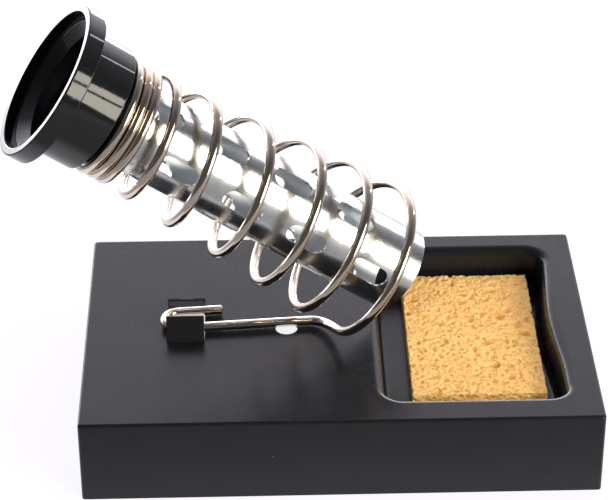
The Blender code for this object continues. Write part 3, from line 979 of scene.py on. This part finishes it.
def make_floor():
    """White table, glowing under the stand, more so far behind it, and dimmer towards the front."""
    bm = bmesh.new()
    bmesh.ops.create_grid(bm, x_segments=1, y_segments=1, size=4.0)
    floor = new_object("floor", mesh_from_bmesh(bm, "floor"))
    floor.location.z = -0.05 * MM
    surface = Surface("floor", Base_Color=(0.2, 0.2, 0.2, 1.0), Roughness=0.9)
    split = surface.tree.nodes.new("ShaderNodeSeparateXYZ")
    surface.link(surface.coordinates, split.inputs["Vector"])
    front = surface.remap(split.outputs["Y"], *FLOOR_FRONT, 0.0, 1.0)
    sides = surface.remap(surface.math("ABSOLUTE", split.outputs["X"], 0.0), *FLOOR_SIDES, 1.0, 0.0)
    near = surface.math("MULTIPLY", surface.math("MULTIPLY", front, sides), GLOW_NEAR)
    back = surface.remap(split.outputs["Y"], *FLOOR_BACK, 0.0, GLOW_BACK)
    far = surface.math("MULTIPLY", back, surface.remap(split.outputs["X"], *FLOOR_LEFT, 1.0, 0.0))
    glow = surface.math("ADD", surface.math("ADD", near, far), GLOW_EVERYWHERE)
    surface.link(glow, surface.shader.inputs["Emission Strength"])
    surface.shader.inputs["Emission Color"].default_value = (0.985, 0.965, 1.03, 1.0)
    floor.data.materials.append(surface.material)


def aim(azimuth, elevation, distance):
    """Place and turn of a lamp that faces the stand; azimuth runs from the back (+Y) to the right."""
    azimuth, elevation = math.radians(azimuth), math.radians(elevation)
    flat = math.cos(elevation)
    direction = Vector((math.sin(azimuth) * flat, math.cos(azimuth) * flat, math.sin(elevation)))
    turn = direction.to_track_quat("Z", "Y").to_matrix().to_4x4()
    return Matrix.Translation(LAMP_TARGET + direction * distance) @ turn


def add_panel(name, azimuth, elevation, distance, width, height, radiance, color):
    """A rectangular lamp, width and height in degrees as seen from the stand."""
    lamp = bpy.data.lights.new(name, "AREA")
    lamp.shape = "RECTANGLE"
    lamp.size = 2 * distance * math.tan(math.radians(width / 2))
    lamp.size_y = 2 * distance * math.tan(math.radians(height / 2))
    lamp.energy = radiance * math.pi * lamp.size * lamp.size_y
    lamp.color = color
    obj = bpy.data.objects.new(name, lamp)
    obj.matrix_world = aim(azimuth, elevation, distance)
    obj.visible_camera = False
    bpy.context.scene.collection.objects.link(obj)
    return obj


def light_only(lamp, target):
    """Keeps a lamp's light to one object."""
    receivers = bpy.data.collections.new(lamp.name)
    receivers.objects.link(target)
    lamp.light_linking.receiver_collection = receivers


def add_lights(sponge):
    warm = (1.0, 0.95, 0.82)
    cool = (0.95, 0.94, 1.0)
    add_panel("key_top", 131, 28, 1.3, 34, 7, 11.0, warm)
    add_panel("key_low", 134, 12.5, 1.3, 34, 19, 11.0, warm)
    add_panel("back_band", -34, 2.5, 0.7, 54, 15, 4.4, cool)
    add_panel("rim_band", 7, 2.5, 0.7, 27, 13, 8.0, cool)
    add_panel("back_strip", 55, 33, 1.4, 1.6, 26, 14.0, cool)
    light_only(add_panel("sponge_fill", 180, 46, 0.8, 30, 30, 6.6, (1.0, 0.99, 0.94)), sponge)
    world = bpy.data.worlds.new("studio")
    bpy.context.scene.world = world
    world.use_nodes = True
    tree = world.node_tree
    background = tree.nodes["Background"]
    coordinates = tree.nodes.new("ShaderNodeTexCoord")
    split = tree.nodes.new("ShaderNodeSeparateXYZ")
    ramp = tree.nodes.new("ShaderNodeValToRGB")
    shift = tree.nodes.new("ShaderNodeMapRange")
    tree.links.new(coordinates.outputs["Generated"], split.inputs["Vector"])
    tree.links.new(split.outputs["Y"], shift.inputs["Value"])
    shift.inputs["From Min"].default_value = -1.0
    tree.links.new(shift.outputs["Result"], ramp.inputs["Fac"])
    tree.links.new(ramp.outputs["Color"], background.inputs["Color"])
    stops = ramp.color_ramp.elements
    for stop, (position, color) in zip(stops, WORLD_ENDS):
        stop.position, stop.color = position, color
    for position, color in WORLD_STOPS:
        stops.new(position).color = color
    background.inputs["Strength"].default_value = WORLD_STRENGTH


def add_camera():
    """A camera in front of the stand, a little to its left, looking down at it."""
    flat = math.cos(CAMERA_ELEVATION)
    across = math.sin(CAMERA_AZIMUTH) * flat
    back = Vector((across, -math.cos(CAMERA_AZIMUTH) * flat, math.sin(CAMERA_ELEVATION)))
    right = Vector((math.cos(CAMERA_AZIMUTH), math.sin(CAMERA_AZIMUTH), 0.0))
    up = back.cross(right)
    turned_right = math.cos(CAMERA_ROLL) * right + math.sin(CAMERA_ROLL) * up
    turned_up = -math.sin(CAMERA_ROLL) * right + math.cos(CAMERA_ROLL) * up
    camera = bpy.data.cameras.new("camera")
    camera.sensor_width = CAMERA_SENSOR
    camera.lens = CAMERA_LENS
    obj = bpy.data.objects.new("camera", camera)
    turn = Matrix((turned_right, turned_up, back)).transposed().to_4x4()
    obj.matrix_world = Matrix.Translation(CAMERA_TARGET + back * CAMERA_DISTANCE) @ turn
    bpy.context.scene.collection.objects.link(obj)
    bpy.context.scene.camera = obj


def main():
    bpy.context.scene.view_settings.view_transform = "Standard"
    make_base()
    sponge = make_sponge()
    make_spring()
    make_tube()
    make_bush()
    make_floor()
    add_lights(sponge)
    add_camera()


main()
